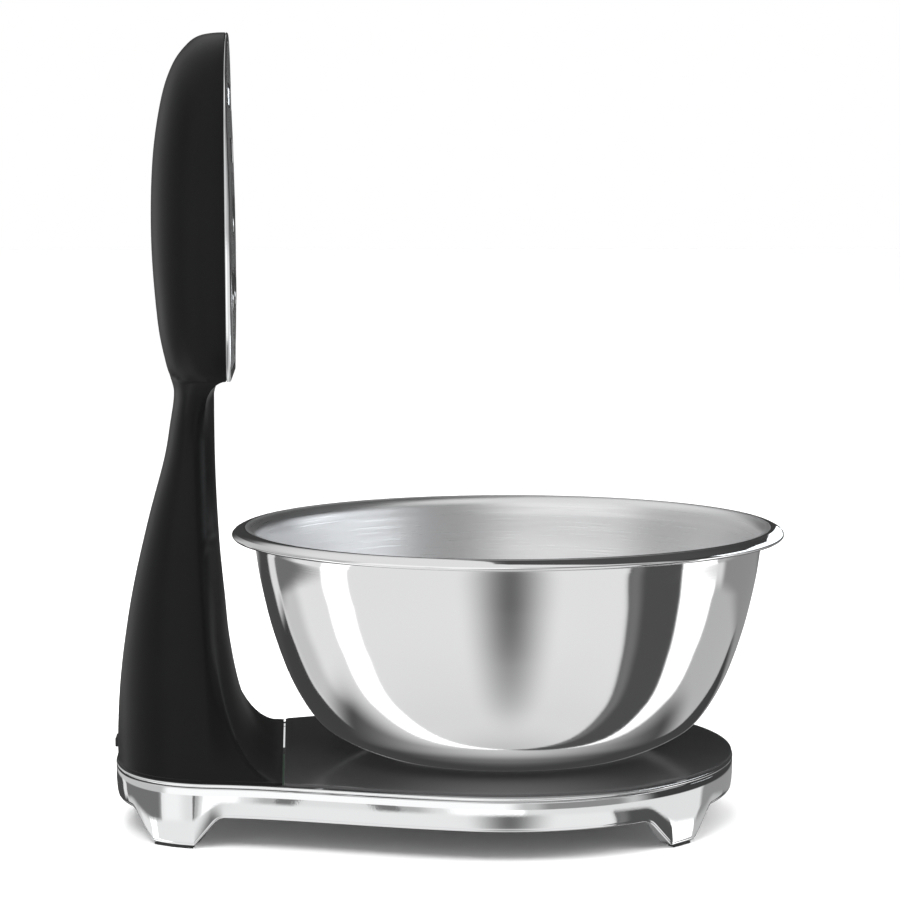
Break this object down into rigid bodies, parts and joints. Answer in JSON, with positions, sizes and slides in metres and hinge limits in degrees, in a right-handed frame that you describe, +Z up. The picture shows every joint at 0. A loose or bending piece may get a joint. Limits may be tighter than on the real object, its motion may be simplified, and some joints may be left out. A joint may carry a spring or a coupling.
{
  "type": "kitchen scale",
  "caption": "Upright electronic kitchen scale with a chrome footed base, tall column with display head, weighing platform and loose steel bowl.",
  "frame": {"origin": "middle of the whole object's footprint, on the surface it stands on", "axes": "+X towards the front, the side the display faces; +Y to the left as seen from behind the column; +Z up"},
  "size_m": [0.2684, 0.2214, 0.3128],
  "materials": {
    "chrome": "mirror polished",
    "bowl_steel": "polished outside, satin inside",
    "satin_steel": "satin",
    "button_chrome": "polished",
    "black_shell": "satin",
    "gloss_black": "high gloss",
    "dark_glass": "glossy",
    "rubber": "matt",
    "moulding": "fine texture",
    "board": "solder mask",
    "aluminium": "milled",
    "fastener": "zinc plated",
    "sheet_steel": "plated",
    "cell_wrap": "shrink wrap",
    "cable": "satin"
  },
  "bodies": {
    "base": {"base_frame": "chrome", "trim_ring": "chrome", "foot_pad_1": "rubber", "foot_pad_2": "rubber", "foot_pad_3": "rubber", "foot_pad_4": "rubber", "bottom_cover": "moulding", "cover_screw_1": "fastener", "cover_screw_2": "fastener", "cover_screw_3": "fastener", "cover_screw_4": "fastener", "column_screw_1": "fastener", "column_screw_2": "fastener", "column_screw_3": "fastener", "column_screw_4": "fastener", "load_cell": "aluminium", "cell_spacer_fixed": "aluminium", "cell_screw_fixed_1": "fastener", "cell_screw_fixed_2": "fastener", "overload_stop": "fastener", "column_shell": "black_shell", "face_bezel": "chrome", "face_plate": "satin_steel", "display_window": "dark_glass", "timer_window": "dark_glass", "control_disc": "satin_steel", "button_membrane": "rubber", "display_module": "moulding", "timer_module": "moulding", "face_carrier": "moulding", "display_board": "board", "buzzer": "moulding", "main_board": "board", "charge_board": "board", "charge_socket": "sheet_steel", "charge_cell": "cell_wrap", "cell_cradle": "moulding", "wiring_loom": "cable"},
    "platform": {"cell_spacer_free": "aluminium", "cell_screw_free_1": "fastener", "cell_screw_free_2": "fastener", "platform_spider": "sheet_steel", "platform_cover": "gloss_black"},
    "bowl": {"bowl": "bowl_steel"},
    "tare_button": {"button_tare": "button_chrome"},
    "unit_button": {"button_unit": "button_chrome"},
    "timer_button": {"button_timer": "button_chrome"},
    "port_flap": {"port_cover": "rubber"}
  },
  "joints": [
    {"name": "platform_press", "type": "slide", "parent": "base", "child": "platform", "axis": [0, 0, 1], "range_m": [-0.0003, 0], "stiffness_N_per_m": 60000, "springref_m": 0.0003},
    {"name": "bowl_lift", "type": "slide", "parent": "platform", "child": "bowl", "axis": [0.342, 0, 0.9397], "range_m": [0, 0.13]},
    {"name": "tare_press", "type": "slide", "parent": "base", "child": "tare_button", "axis": [1, 0, 0], "range_m": [-0.0006, 0], "stiffness_N_per_m": 600, "springref_m": 0.001},
    {"name": "unit_press", "type": "slide", "parent": "base", "child": "unit_button", "axis": [1, 0, 0], "range_m": [-0.0006, 0], "stiffness_N_per_m": 600, "springref_m": 0.001},
    {"name": "timer_press", "type": "slide", "parent": "base", "child": "timer_button", "axis": [1, 0, 0], "range_m": [-0.0006, 0], "stiffness_N_per_m": 600, "springref_m": 0.001},
    {"name": "port_cover_swing", "type": "hinge", "parent": "base", "child": "port_flap", "pos_m": [-0.13422, 0, 0.0297], "axis": [0, -1, 0], "range_deg": [0, 100]}
  ]
}
